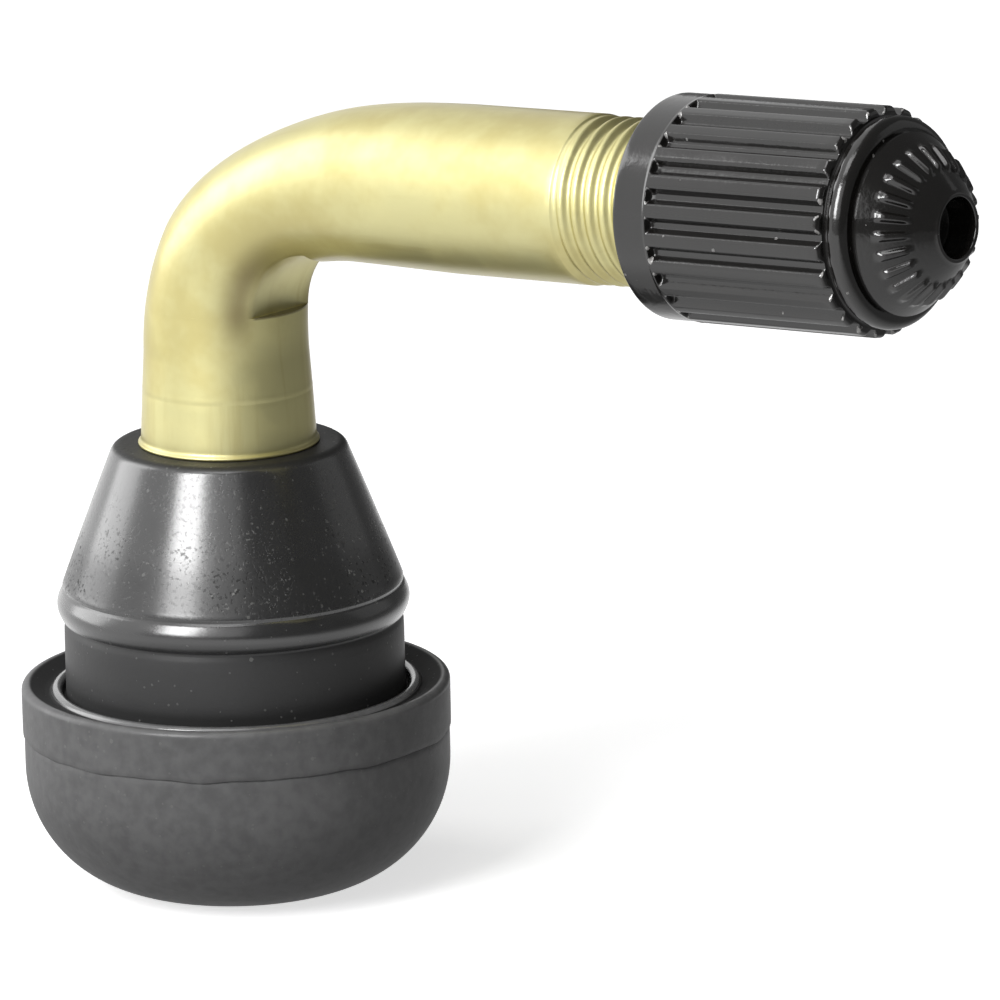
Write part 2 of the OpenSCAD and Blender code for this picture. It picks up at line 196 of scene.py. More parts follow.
class Nodes:
    """Makes and joins the nodes of one tree."""

    def __init__(self, tree):
        self.tree = tree

    def add(self, kind, values=None, **settings):
        node = self.tree.nodes.new(kind)
        for key, value in settings.items():
            setattr(node, key, value)
        for key, value in (values or {}).items():
            if isinstance(value, bpy.types.NodeSocket):
                self.tree.links.new(value, node.inputs[key])
            else:
                node.inputs[key].default_value = value
        return node

    def math(self, operation, a, b=0.0):
        return self.add("ShaderNodeMath", {0: a, 1: b}, operation=operation).outputs[0]

    def times(self, a, b):
        return self.math("MULTIPLY", a, b)

    def ramp(self, value, low, high, to_low=0.0, to_high=1.0):
        """A smooth step of value from low to high."""
        sizes = {"Value": value, "From Min": low, "From Max": high, "To Min": to_low, "To Max": to_high}
        return self.add("ShaderNodeMapRange", sizes, interpolation_type="SMOOTHSTEP").outputs["Result"]

    def noise(self, place, scale, detail=2.0, **more):
        sizes = {"Vector": place, "Scale": scale, "Detail": detail, **more}
        return self.add("ShaderNodeTexNoise", sizes).outputs["Fac"]


GROOVE_MARKS = ("groove_phase", "groove_weight", "groove_out")


def groove_tree():
    """Geometry nodes that sink grooves into a mesh: a row of straight ones, or one that winds as a thread."""
    tree = bpy.data.node_groups.new("sunk_grooves", "GeometryNodeTree")
    face = tree.interface
    face.new_socket("Geometry", in_out="INPUT", socket_type="NodeSocketGeometry")
    for name, value in (("Depth", 0.3), ("Crest", 0.2), ("Root", 0.2)):
        face.new_socket(name, in_out="INPUT", socket_type="NodeSocketFloat").default_value = value
    face.new_socket("Material", in_out="INPUT", socket_type="NodeSocketMaterial")
    face.new_socket("Geometry", in_out="OUTPUT", socket_type="NodeSocketGeometry")
    n = Nodes(tree)
    given = n.add("NodeGroupInput").outputs
    phase, weight, out = (
        n.add("GeometryNodeInputNamedAttribute", {"Name": name}, data_type=kind).outputs["Attribute"]
        for name, kind in zip(GROOVE_MARKS, ("FLOAT", "FLOAT", "FLOAT_VECTOR"))
    )
    height = n.math("ABSOLUTE", n.math("SUBTRACT", n.times(n.math("FRACT", phase), 2.0), 1.0))
    slope = n.ramp(height, given["Root"], n.math("SUBTRACT", 1.0, given["Crest"]), 1.0, 0.0)
    sink = n.times(n.times(slope, weight), given["Depth"])
    inward = n.add("ShaderNodeVectorMath", {0: out, "Scale": n.times(sink, -1.0)}, operation="SCALE")
    moves = {"Geometry": given["Geometry"], "Offset": inward.outputs[0]}
    moved = n.add("GeometryNodeSetPosition", moves).outputs[0]
    real = n.add("GeometryNodeRealizeInstances", {"Geometry": moved}).outputs[0]
    dressed = n.add("GeometryNodeSetMaterial", {"Geometry": real, "Material": given["Material"]}).outputs[0]
    n.add("NodeGroupOutput", {0: dressed})
    return tree


def sink_grooves(piece, tree, material, **sizes):
    """Applies the groove tree to a piece and leaves it a plain mesh."""
    modifier = piece.modifiers.new("grooves", "NODES")
    modifier.node_group = tree
    sizes["Material"] = material
    for item in tree.interface.items_tree:
        if item.in_out == "INPUT" and item.name in sizes:
            modifier[item.identifier] = sizes[item.name]
    view = bpy.context.evaluated_depsgraph_get()
    plain = bpy.data.meshes.new_from_object(piece.evaluated_get(view))
    piece.modifiers.remove(modifier)
    piece.data = plain
    for name in GROOVE_MARKS:
        plain.attributes.remove(plain.attributes[name])


# Shader node groups that several finishes share.


def new_group(name, inputs, outputs):
    """An empty group, with its nodes, its inputs and the place on the piece."""
    tree = bpy.data.node_groups.new(name, "ShaderNodeTree")
    for socket, value in inputs:
        tree.interface.new_socket(socket, in_out="INPUT", socket_type="NodeSocketFloat").default_value = value
    for socket in outputs:
        tree.interface.new_socket(socket, in_out="OUTPUT", socket_type="NodeSocketFloat")
    n = Nodes(tree)
    given = n.add("NodeGroupInput").outputs
    place = n.add("ShaderNodeTexCoord").outputs["Object"]
    return n, given, place


def speck_group():
    """Small pale specks of dust, thick in some places and missing in others."""
    inputs = [("Scale", 1500.0), ("Size", 0.2), ("Spread", 0.5)]
    n, given, place = new_group("dust_specks", inputs, ["Mask"])
    uneven = 0.22
    sizes = {"Vector": place, "Scale": given["Scale"], "Randomness": 1.0}
    cells = n.add("ShaderNodeTexVoronoi", sizes).outputs
    bent = n.noise(place, n.times(given["Scale"], 2.1))
    edge = n.math("ADD", cells["Distance"], n.times(bent, uneven))
    dot = n.math("LESS_THAN", edge, n.math("ADD", given["Size"], uneven / 2))
    chance = n.add("ShaderNodeSeparateColor", {0: cells["Color"]}).outputs[0]
    patch = n.noise(place, 260.0, 3.0)
    kept = n.math("LESS_THAN", n.math("ADD", chance, patch), n.math("ADD", given["Spread"], 0.5))
    n.add("NodeGroupOutput", {"Mask": n.times(dot, kept)})
    return n.tree


def smear_group():
    """Cloudy marks of handling, and a fine grain."""
    inputs = [("Scale", 220.0), ("Grain", 5200.0)]
    n, given, place = new_group("handling_marks", inputs, ["Cloud", "Blotch", "Grain"])
    cloud = n.noise(place, given["Scale"], 4.0, Roughness=0.6)
    blotch = n.noise(place, n.times(given["Scale"], 3.7), 5.0, Distortion=0.8)
    hard = n.add("ShaderNodeMapRange", {"Value": blotch, "From Min": 0.5, "From Max": 0.66}).outputs["Result"]
    grain = n.noise(place, given["Grain"])
    n.add("NodeGroupOutput", {"Cloud": cloud, "Blotch": hard, "Grain": grain})
    return n.tree


SPECKS = speck_group()
SMEARS = smear_group()


class Finish(Nodes):
    """One material with a Principled BSDF, and short ways to feed it."""

    def __init__(self, name, **shader):
        self.material = bpy.data.materials.new(name)
        self.material.use_nodes = True
        super().__init__(self.material.node_tree)
        self.bsdf = self.tree.nodes["Principled BSDF"]
        for key, value in shader.items():
            self.bsdf.inputs[key.replace("_", " ")].default_value = value
        self.place = self.add("ShaderNodeTexCoord").outputs["Object"]
        self.relief = None

    def axes(self):
        """The place's x, y and z."""
        split = self.add("ShaderNodeSeparateXYZ", {0: self.place})
        return split.outputs[0], split.outputs[1], split.outputs[2]

    def above(self, value, low, high):
        """0 below low and 1 above high, both in millimetres."""
        return self.ramp(value, low * MM, high * MM)

    def below(self, value, low, high, most=1.0, least=0.0):
        """Most below low and least above high, both in millimetres."""
        return self.ramp(value, low * MM, high * MM, most, least)

    def group(self, tree, **values):
        return self.add("ShaderNodeGroup", values, node_tree=tree).outputs

    def cloudy(self, marks, low, high):
        """A value that follows the cloudy marks of handling."""
        return self.ramp(marks["Cloud"], 0.3, 0.7, low, high)

    def mark(self, name):
        """A value that the piece stores for each of its points."""
        return self.add("ShaderNodeAttribute", attribute_name=name).outputs["Fac"]

    def blend(self, fac, first, second):
        """A value between two others, sockets or numbers."""
        return self.add("ShaderNodeMix", {0: fac, 2: first, 3: second}).outputs[0]

    def tint(self, fac, first, second):
        """A colour between two others, each a colour or a socket."""
        ends = [c if isinstance(c, bpy.types.NodeSocket) else (*c, 1) for c in (first, second)]
        return self.add("ShaderNodeMix", {0: fac, 6: ends[0], 7: ends[1]}, data_type="RGBA").outputs[2]

    def feed(self, name, socket):
        self.tree.links.new(socket, self.bsdf.inputs[name])

    def bump(self, height, depth):
        """Adds one layer of relief, depth in millimetres."""
        node = self.add("ShaderNodeBump", {"Height": height, "Distance": depth * MM, "Strength": 1.0})
        if self.relief is not None:
            self.tree.links.new(self.relief, node.inputs["Normal"])
        self.relief = node.outputs[0]
        self.feed("Normal", self.relief)


def satin_brass(name, rough, **film):
    """Satin brass with fine grain and small nicks, and the mask of its tarnish."""
    f = Finish(name, Metallic=1.0, Specular_Tint=(0.62, 0.56, 0.34, 1), **film)
    marks = f.group(SMEARS, Scale=180.0, Grain=3600.0)
    tarnish = f.ramp(marks["Cloud"], 0.42, 0.68)
    worn = f.times(marks["Blotch"], 0.05)
    f.feed("Roughness", f.math("ADD", f.cloudy(marks, rough - 0.04, rough + 0.05), worn))
    nicks = f.group(SPECKS, Scale=620.0, Size=0.1, Spread=0.12)["Mask"]
    f.bump(marks["Grain"], 0.004)
    f.bump(nicks, -0.02)
    return f, tarnish


def turned_brass():
    """Brass of the valve core."""
    f, tarnish = satin_brass("core_brass_turned", 0.26)
    f.feed("Base Color", f.tint(tarnish, (0.76, 0.60, 0.27), (0.64, 0.47, 0.19)))
    return f.material


def bent_brass():
    """Brass of the stem: streaks of drawing run along the tube and round the bend, with painted shade beside
    the pressed flat and below its ledge.
    """
    pale, dark = (0.69, 0.645, 0.315), (0.58, 0.515, 0.215)
    painted_shade, ledge_painted_shade = (0.17, 0.125, 0.04), (0.11, 0.085, 0.03)
    f, tarnish = satin_brass("stem_brass_satin", 0.46, Coat_Weight=1.0, Coat_Roughness=0.28)
    lay = f.add("ShaderNodeAttribute", attribute_name="tube_lay").outputs["Vector"]
    drawn = f.add("ShaderNodeMapping", {"Vector": lay, "Scale": (1.0, 1.0, 0.09)}).outputs[0]
    fine = f.noise(drawn, 1500.0, 4.0)
    broad = f.noise(drawn, 520.0, 3.0)
    streak = f.times(f.ramp(fine, 0.45, 0.7), f.ramp(broad, 0.4, 0.65, 0.15, 0.7))
    tone = f.tint(f.math("MAXIMUM", tarnish, streak), pale, dark)
    # Painted shade darkens the brass along both edges of the pressed flat.
    tone = f.tint(f.times(f.mark("press_painted_shade"), 0.7), tone, painted_shade)
    x, _, z = f.axes()
    # A darker painted shade lies in the line below the ledge of the pressed flat.
    from_ledge = f.math("ABSOLUTE", f.math("SUBTRACT", z, LEDGE_Z * MM))
    under_ledge_shade = f.times(f.below(from_ledge, 0.03, 0.14, 0.8), f.above(x, PRESS_X, PRESS_X + 0.12))
    f.feed("Base Color", f.tint(under_ledge_shade, tone, ledge_painted_shade))
    f.bump(fine, 0.005)
    f.bump(broad, 0.006)
    return f.material


# Zones of the rubber, in millimetres. Each fades in or out between two heights, or between two distances
# from the axis of the base.
DISH_ABOVE, DISH_WITHIN = (9.0, 9.2), (9.75, 9.95)
RIM_ABOVE, RIM_BEYOND = (9.55, 9.65), (9.7, 9.9)
RING_ABOVE, RING_BEYOND, RING_WITHIN = (9.5, 9.6), (8.24, 8.28), (8.78, 8.82)
NECK_ABOVE = (9.9, 10.6)
CONE_ABOVE = (12.9, 13.3)
TOP_ABOVE = (21.2, 21.4)
SCUFFS_ABOVE, SCUFFS_BELOW = (14.6, 15.2), (15.6, 18.2)
GRIT_ABOVE, GRIT_BELOW = (14.5, 14.8), (16.2, 19.6)


def moulded_rubber():
    """Rubber of the base: matt foot, half matt neck, a glossy ring and cone, and a dish and top face darkened
    by painted shade.
    """
    f = Finish("base_rubber_black", Specular_IOR_Level=0.45, Coat_Roughness=0.23, Coat_IOR=1.7)
    marks = f.group(SMEARS, Scale=210.0, Grain=4200.0)
    x, y, z = f.axes()
    out = f.math("SQRT", f.math("ADD", f.times(x, x), f.times(y, y)))
    ring = f.times(f.above(out, *RING_BEYOND), f.below(out, *RING_WITHIN))
    zones = {
        "dish": f.times(f.above(z, *DISH_ABOVE), f.below(out, *DISH_WITHIN)),
        "rim": f.times(f.above(z, *RIM_ABOVE), f.above(out, *RIM_BEYOND)),
        "ring": f.times(ring, f.above(z, *RING_ABOVE)),
        "neck": f.above(z, *NECK_ABOVE),
        "cone": f.above(z, *CONE_ABOVE),
        "top": f.above(z, *TOP_ABOVE),
    }
    scuffed = f.times(f.above(z, *SCUFFS_ABOVE), f.below(z, *SCUFFS_BELOW))
    gritty = f.times(f.above(z, *GRIT_ABOVE), f.below(z, *GRIT_BELOW, least=0.25))

    def zoned(join, foot, **finish):
        """Lays the finish of each zone over that of the foot."""
        for zone, where in zones.items():
            foot = join(where, foot, finish[zone])
        return foot

    def shade(dark, pale):
        return f.tint(marks["Cloud"], (dark, dark, dark * 1.02), (pale, pale, pale * 1.01))

    bloom = f.ramp(f.math("ADD", marks["Cloud"], f.noise(f.place, 1700.0, 5.0)), 0.7, 1.3)
    foot = f.tint(bloom, (0.096, 0.096, 0.097), (0.134, 0.134, 0.135))
    # The dish and the top face round the stem get this near black as painted shade.
    dark = shade(0.008, 0.015)
    neck, cone = shade(0.026, 0.05), shade(0.016, 0.034)
    plain = zoned(f.tint, foot, rim=foot, dish=dark, ring=foot, neck=neck, cone=cone, top=dark)
    dust = f.times(f.group(SPECKS, Scale=1250.0, Size=0.11, Spread=0.2)["Mask"], 0.5)
    lint = f.times(f.group(SPECKS, Scale=2600.0, Size=0.15, Spread=0.36)["Mask"], 0.35)
    patch = f.times(f.ramp(f.noise(f.place, 330.0, 3.0), 0.4, 0.58, 0.25, 1.0), gritty)
    pits = f.times(f.ramp(f.noise(f.place, 5600.0, 3.0), 0.56, 0.66), patch)
    # Glints are pale specks in the colour where the cone is gritty: painted highlights, which lighten it like
    # the dust and lint do.
    glints = f.times(f.ramp(f.noise(f.place, 4300.0, 3.0), 0.64, 0.7, 0.0, 0.9), patch)
    specks = f.math("MAXIMUM", f.math("MAXIMUM", dust, lint), glints)
    # The pits are dented by a bump, and their colour is also darkened as painted shade.
    pitted = f.tint(pits, plain, (0.006, 0.006, 0.006))
    f.feed("Base Color", f.tint(specks, pitted, (0.2, 0.2, 0.195)))

    matt, dull, smooth = (f.cloudy(marks, *r) for r in ((0.46, 0.56), (0.44, 0.52), (0.2, 0.28)))
    dead, dry = f.cloudy(marks, 0.8, 0.9), f.cloudy(marks, 0.55, 0.65)
    rubbed = f.math("ADD", smooth, f.times(scuffed, 0.14))
    rough = zoned(f.blend, matt, rim=dull, dish=dead, ring=smooth, neck=dull, cone=rubbed, top=dry)
    f.feed("Roughness", f.math("ADD", rough, f.times(pits, 0.3)))
    sheen = f.ramp(scuffed, 0.0, 1.0, 1.0, 0.5)
    sheen = zoned(f.blend, 0.0, rim=0.15, dish=0.0, ring=1.0, neck=0.0, cone=sheen, top=0.0)
    f.feed("Coat Weight", f.times(sheen, f.ramp(pits, 0.0, 1.0, 1.0, 0.2)))
    f.bump(marks["Grain"], 0.008)
    f.bump(marks["Cloud"], 0.015)
    f.bump(pits, -0.02)
    f.bump(specks, 0.03)
    return f.material


def glossy_plastic():
    """Black plastic of the cap, a little warm, with fine scuffs, and pale chipped ends of the ribs that are
    also painted glints.
    """
    f = Finish("cap_plastic_black", Specular_IOR_Level=1.0)
    marks = f.group(SMEARS, Scale=300.0, Grain=5200.0)
    plain = f.tint(marks["Cloud"], (0.006, 0.0055, 0.005), (0.0115, 0.0105, 0.0096))
    dust = f.times(f.group(SPECKS, Scale=1500.0, Size=0.1, Spread=0.16)["Mask"], 0.5)
    # Pale chipped edges where the ribs begin and end: wear, and painted highlights for their glints.
    edge = f.times(f.mark("wear_and_glint_edge"), 0.42)
    chips_and_glints = f.ramp(f.math("ADD", f.noise(f.place, 1700.0, 3.0), edge), 0.76, 0.84)
    f.feed("Base Color", f.tint(f.math("MAXIMUM", dust, chips_and_glints), plain, (0.44, 0.43, 0.42)))
    f.feed("Roughness", f.cloudy(marks, 0.1, 0.17))
    f.bump(marks["Grain"], 0.005)
    f.bump(marks["Blotch"], 0.002)
    return f.material


def seal_rubber(name, pale, dark):
    """Matt rubber of a washer or ring."""
    f = Finish(name, Specular_IOR_Level=0.4)
    marks = f.group(SMEARS, Scale=420.0, Grain=5200.0)
    f.feed("Base Color", f.tint(marks["Cloud"], dark, pale))
    f.feed("Roughness", f.cloudy(marks, 0.5, 0.65))
    f.bump(marks["Grain"], 0.01)
    return f.material


def drawn_steel():
    """Bright wire of the spring."""
    f = Finish("spring_steel_wire", Metallic=1.0)
    marks = f.group(SMEARS, Scale=600.0, Grain=5200.0)
    f.feed("Base Color", f.tint(marks["Cloud"], (0.52, 0.53, 0.54), (0.68, 0.68, 0.69)))
    f.feed("Roughness", f.cloudy(marks, 0.2, 0.34))
    f.bump(marks["Grain"], 0.003)
    return f.material


# The stem: rings of points along the riser, round the bend and along the arm, and back through the air way.

STEM_SIDES = 144
RING = np.arange(STEM_SIDES) / STEM_SIDES * TAU
RISER_RINGS, BEND_RINGS, ARM_RINGS = 26, 72, 34
THREAD_STEPS = 10
THREAD_DEPTH = 0.25
RUN_OUT = 0.5
LIP_R = FOOT_R + 0.06
LIP_ROUND = 0.09
LINE_W, LINE_DEPTH = 0.07, 0.008

# The edges of the bend are eased over shares of its length, in the riser, round the tight bend and in the
# arm. They are rounded least at its ends, and more half-way.
RISER_SHARE, BEND_SHARE, ARM_SHARE = 0.2, 0.45, 0.35
EDGE_LEAST, EDGE_MORE = 0.1, 0.8
SLACK = 0.06
FLAT_LOST_FROM, FLAT_LOST_OVER, FLAT_LOST_BY = 33, 20, 1.2
PRESS_EDGE = 0.05
# Where the painted shade beside the pressed flat lies off the middle of the tube, and how wide it is.
PRESS_SHADE_SIDE, PRESS_SHADE_W = 2.6, 0.55

# The mouth and the room for the valve core, as (s, r).
MOUTH = [(MOUTH_S - MOUTH_EDGE, THREAD_R), (37.3, 3.74), (37.45, 3.59), (37.57, 3.44), (MOUTH_S, 3.38)]
MOUTH += [(MOUTH_S, 2.9), (37.57, 2.84), (37.375, CHAMBER_R), (34.0, CHAMBER_R), (30.95, CHAMBER_R)]
MOUTH += [(29.85, WELL_R), (24.0, WELL_R), (18.28, WELL_R), (17.6, PASSAGE_R)]


def riser_frame(z):
    return np.array([0, 0, z]), np.array([-1.0, 0, 0])


def bend_frame(angle):
    out = np.array([-math.cos(angle), 0, math.sin(angle)])
    return TIGHT_C + TIGHT_R * out, out


def arm_frame(s):
    return CORNER + s * ARM, ARM_UP


def ring_at(place, radius):
    """A ring across the tube, radius one number or one for each point."""
    centre, out = place
    spokes = np.cos(RING)[:, None] * out + np.sin(RING)[:, None] * ACROSS
    return centre + spokes * np.broadcast_to(radius, RING.shape)[:, None]


def along_arm(p):
    """How far points lie along the arm, and how far above its middle line."""
    return (p - CORNER) @ ARM, (p - CORNER) @ ARM_UP


def beyond_bend(p, radius):
    """How far points lie outwards of the middle line of a plain bend, less than nothing on its inside."""
    x, _, z = p.T
    s, up = along_arm(p)
    reach = radius * LEG
    out = np.hypot(x - radius, z - (CORNER_Z - reach)) - radius
    out = np.where(z < CORNER_Z - reach, -x, out)
    return np.where(s > reach, up, out)


def tube_excess(p, along):
    """How far points lie outside the bent tube; along runs from 0 to 1 where the edges are eased."""
    y = p[:, 1]
    s, up = along_arm(p)
    width = EDGE_LEAST + EDGE_MORE * math.sin(math.pi * along)
    taper = np.clip((BEND_Z - p[:, 2]) / (BEND_Z - FOOT_TOP), 0, 1)
    radius = mix(TUBE_R, FOOT_TOP_R, taper)
    plain = np.hypot(beyond_bend(p, BEND_R), y) - radius
    inner = np.hypot(np.minimum(beyond_bend(p, TIGHT_R), 0), y) - radius - SLACK
    flattened = np.maximum(np.hypot(s - FLAT_S, up + FLAT_R) - FLAT_R, 0)
    turned = np.degrees(np.arctan2(FLAT_S - s, up + FLAT_R))
    lost = FLAT_LOST_BY * fade_in(turned, FLAT_LOST_FROM, FLAT_LOST_OVER)
    outer = np.hypot(np.where(s > FLAT_S, np.maximum(up, 0), flattened), y) - TUBE_R - SLACK - lost
    return soft_max(soft_max(plain, inner, width), outer, width)


def tube_ring(place, along, pressed):
    """A ring across the bent tube, found by halving, cut by the pressed flat where there is one."""
    low, high = np.full(RING.shape, 1.0), np.full(RING.shape, 7.0)
    for _ in range(34):
        middle = (low + high) / 2
        out = tube_excess(ring_at(place, middle), along) > 0
        high = np.where(out, middle, high)
        low = np.where(out, low, middle)
    radius = (low + high) / 2
    if pressed:
        inward = np.maximum(-np.cos(RING), 1e-6)
        radius = -soft_max(-radius, -PRESS_X / inward, PRESS_EDGE)
    return ring_at(place, radius)


def riser_profile():
    """Half outline of the stem as (r, z), from its lower end to the turned line at the top of its foot."""
    riser = [(PASSAGE_R, ROOT_Z), (ROOT_R - 0.1, ROOT_Z), (ROOT_R, ROOT_Z + 0.1)]
    for z in ANCHOR_Z:
        riser += [(ROOT_R, z), (ANCHOR_R - ANCHOR_EDGE, z), (ANCHOR_R, z + ANCHOR_EDGE)]
        riser += [(ANCHOR_R, z + ANCHOR_H - ANCHOR_EDGE), (ROOT_R, z + ANCHOR_H)]
    riser += [(ROOT_R, BASE_TOP), (LIP_R, BASE_TOP)]
    riser += arc((LIP_R, BASE_TOP + LIP_ROUND), LIP_ROUND, -70, 60, 7)
    riser += [(LIP_R, BASE_TOP + 0.2), (FOOT_R + 0.02, BASE_TOP + 0.25), (FOOT_R, BASE_TOP + LIP_H)]
    below_line = (FOOT_TOP_R, FOOT_TOP - LINE_W)
    riser += line((FOOT_R, BASE_TOP + LIP_H + 0.1), below_line, 6)
    return riser + [below_line, (FOOT_TOP_R - LINE_DEPTH, FOOT_TOP), (FOOT_TOP_R, FOOT_TOP + LINE_W)]


def stem_rings():
    """Rings up the outside to the mouth and back down the air way, the thread's first ring and its places."""
    rings = [ring_at(riser_frame(z), r) for r, z in riser_profile()]
    for z in np.linspace(FOOT_TOP + 0.25, TIGHT_Z, RISER_RINGS):
        along = np.clip((z - BEND_Z) / (TIGHT_Z - BEND_Z), 0, 1) * RISER_SHARE
        rings.append(tube_ring(riser_frame(z), along, False))
    rings.append(tube_ring(bend_frame(PRESS_FROM), RISER_SHARE, False))
    for angle in np.linspace(PRESS_FROM, TURN, BEND_RINGS):
        rings.append(tube_ring(bend_frame(angle), RISER_SHARE + BEND_SHARE * angle / TURN, True))
    straight = FLAT_S + 1
    for s in np.linspace(TIGHT_S, straight, ARM_RINGS):
        along = RISER_SHARE + BEND_SHARE + ARM_SHARE * (s - TIGHT_S) / (straight - TIGHT_S)
        rings.append(tube_ring(arm_frame(s), along, False))
    arm = [(s, TUBE_R) for s in np.linspace(straight + 0.4, THREAD_S - 0.5, 8)]
    arm += [(THREAD_S - 0.05, TUBE_R), (THREAD_S, TUBE_R - 0.02)]
    rings += [ring_at(arm_frame(s), r) for s, r in arm]
    thread = np.arange(THREAD_S + 0.05, MOUTH_S - MOUTH_EDGE, THREAD_P / THREAD_STEPS)
    first = len(rings)
    rings += [ring_at(arm_frame(s), THREAD_R) for s in thread]
    rings += [ring_at(arm_frame(s), r) for s, r in MOUTH]
    rings += [ring_at(arm_frame(s), PASSAGE_R) for s in np.linspace(16, TIGHT_S, 6)]
    rings += [ring_at(bend_frame(a), PASSAGE_R) for a in np.linspace(TURN, 0, 24)[1:]]
    rings += [ring_at(riser_frame(z), PASSAGE_R) for z in np.linspace(TIGHT_Z, ROOT_Z, 6)[1:-1]]
    return np.array(rings), first, thread


def tube_lay(rings):
    """Places along and round the tube, as if it were straight, for the streaks of its finish."""
    centres = rings.mean(axis=1)
    length = np.concatenate([[0], np.cumsum(np.linalg.norm(np.diff(centres, axis=0), axis=1))])
    lay = np.zeros(rings.shape)
    lay[:, :, 0] = TUBE_R * np.cos(RING)
    lay[:, :, 1] = TUBE_R * np.sin(RING)
    lay[:, :, 2] = length[:, None]
    return lay * MM


def press_painted_shade(rings):
    """How dark the painted shade lies along both edges of the pressed flat, strongest at its ledge."""
    x, y, z = np.moveaxis(rings, 2, 0)
    turned = np.degrees(np.arctan2(z - TIGHT_Z, TIGHT_R - x))
    inward = TIGHT_R - np.hypot(x - TIGHT_R, z - TIGHT_Z)
    beside = hump((np.abs(y) - PRESS_SHADE_SIDE) / PRESS_SHADE_W) * fade_in(inward, 1.4, 1.2)
    return beside * fade_in(turned, -26, 32) * (1 - fade_in(turned, 30, 50))


def build_stem(brass, grooves):
    rings, first, thread = stem_rings()
    stem = ring_mesh("stem_brass_tube", rings, True)
    shape = (len(rings), STEM_SIDES)
    phase, weight = np.zeros(shape), np.zeros(shape)
    out = np.zeros((*shape, 3))
    rows = slice(first, first + len(thread))
    phase[rows] = thread[:, None] / THREAD_P + RING[None] / TAU
    fade = fade_in(thread, THREAD_S, RUN_OUT) * ease((MOUTH_S - MOUTH_EDGE - thread) / RUN_OUT)
    weight[rows] = fade[:, None]
    out[rows] = np.cos(RING)[:, None] * ARM_UP + np.sin(RING)[:, None] * ACROSS
    attribute(stem, "groove_phase", "FLOAT", phase)
    attribute(stem, "groove_weight", "FLOAT", weight)
    attribute(stem, "groove_out", "FLOAT_VECTOR", out)
    attribute(stem, "tube_lay", "FLOAT_VECTOR", tube_lay(rings))
    attribute(stem, "press_painted_shade", "FLOAT", press_painted_shade(rings))
    sink_grooves(stem, grooves, brass, Depth=THREAD_DEPTH * MM, Crest=0.08, Root=0.06)
    finish_mesh(stem, sharp_angle=38)
    return stem


# The cap: rings from the middle of its roof down the bore, round the open end and up the outside to the tip.

CAP_OPEN = 27.2
CAP_BORE_R = 3.95
CAP_LAND = 38.44
CAP_ROOF = 39.44
SEAL_ROOM_R = 2.3
BAND_R = 5.12
BAND_ROUND = 0.16
BAND_END = 28.88
RIB_R = 5.15
RIB_END = 38.6
RIBS = 24
RIB_STEPS = (0, 0.09, 0.16, 0.21, 0.25, 0.29, 0.33, 0.37, 0.41, 0.455, 0.5)
RIB_STEPS += tuple(1 - t for t in RIB_STEPS[-2:0:-1])
GROOVE_DEPTH = 0.37
GROOVE_FROM, GROOVE_RISE = 29.05, 0.12
GROOVE_TURN = 0.1
GROOVE_PHASE = np.array([i + t for i in range(RIBS) for t in RIB_STEPS])
CROWN_FOOT, CROWN_TOP = (4.08, 39.93), (1.6, 42.45)
CROWN_SWELL = 0.1
RIDGE_H = 0.19
RIDGE_OUT_R, RIDGE_IN_R, RIDGE_FADE = 3.6, 2.45, 0.2
RECESS_FLOOR = 41.03

# Pale wear shows where the ribs begin and end, and also stands in for their glints as a painted highlight:
# the place along the arm, and how far it reaches to both sides.
GLINT_WEAR_LOW, GLINT_WEAR_HIGH = (29.1, 0.16), (38.5, 0.14)

# The ring at the cap's shoulder with the grooves beside it, and the edge of the recess in the tip, as (s, r).
SHOULDER = [(38.61, 4.66), (38.66, 4.6), (38.76, 4.59), (38.81, 4.63), (38.86, 4.69), (38.92, 4.73)]
SHOULDER += [(39.0, 4.745), (39.1, 4.745), (39.2, 4.73), (39.29, 4.7), (39.38, 4.65), (39.46, 4.58)]
SHOULDER += [(39.53, 4.49), (39.58, 4.39), (39.61, 4.28), (39.62, 4.16), (39.63, 4.02), (39.66, 3.91)]
SHOULDER += [(39.72, 3.86), (39.82, 3.87), (39.89, 3.97)]
TIP = [(42.49, 1.57), (42.52, 1.54), (42.53, 1.49), (42.53, 1.43), (42.51, 1.39), (42.46, 1.365)]
TIP += [(42.3, 1.36), (41.8, 1.35), (41.2, 1.34), (41.07, 1.31)]
TIP += [(RECESS_FLOOR, 1.2), (RECESS_FLOOR, 0.6), (RECESS_FLOOR, 0.0)]


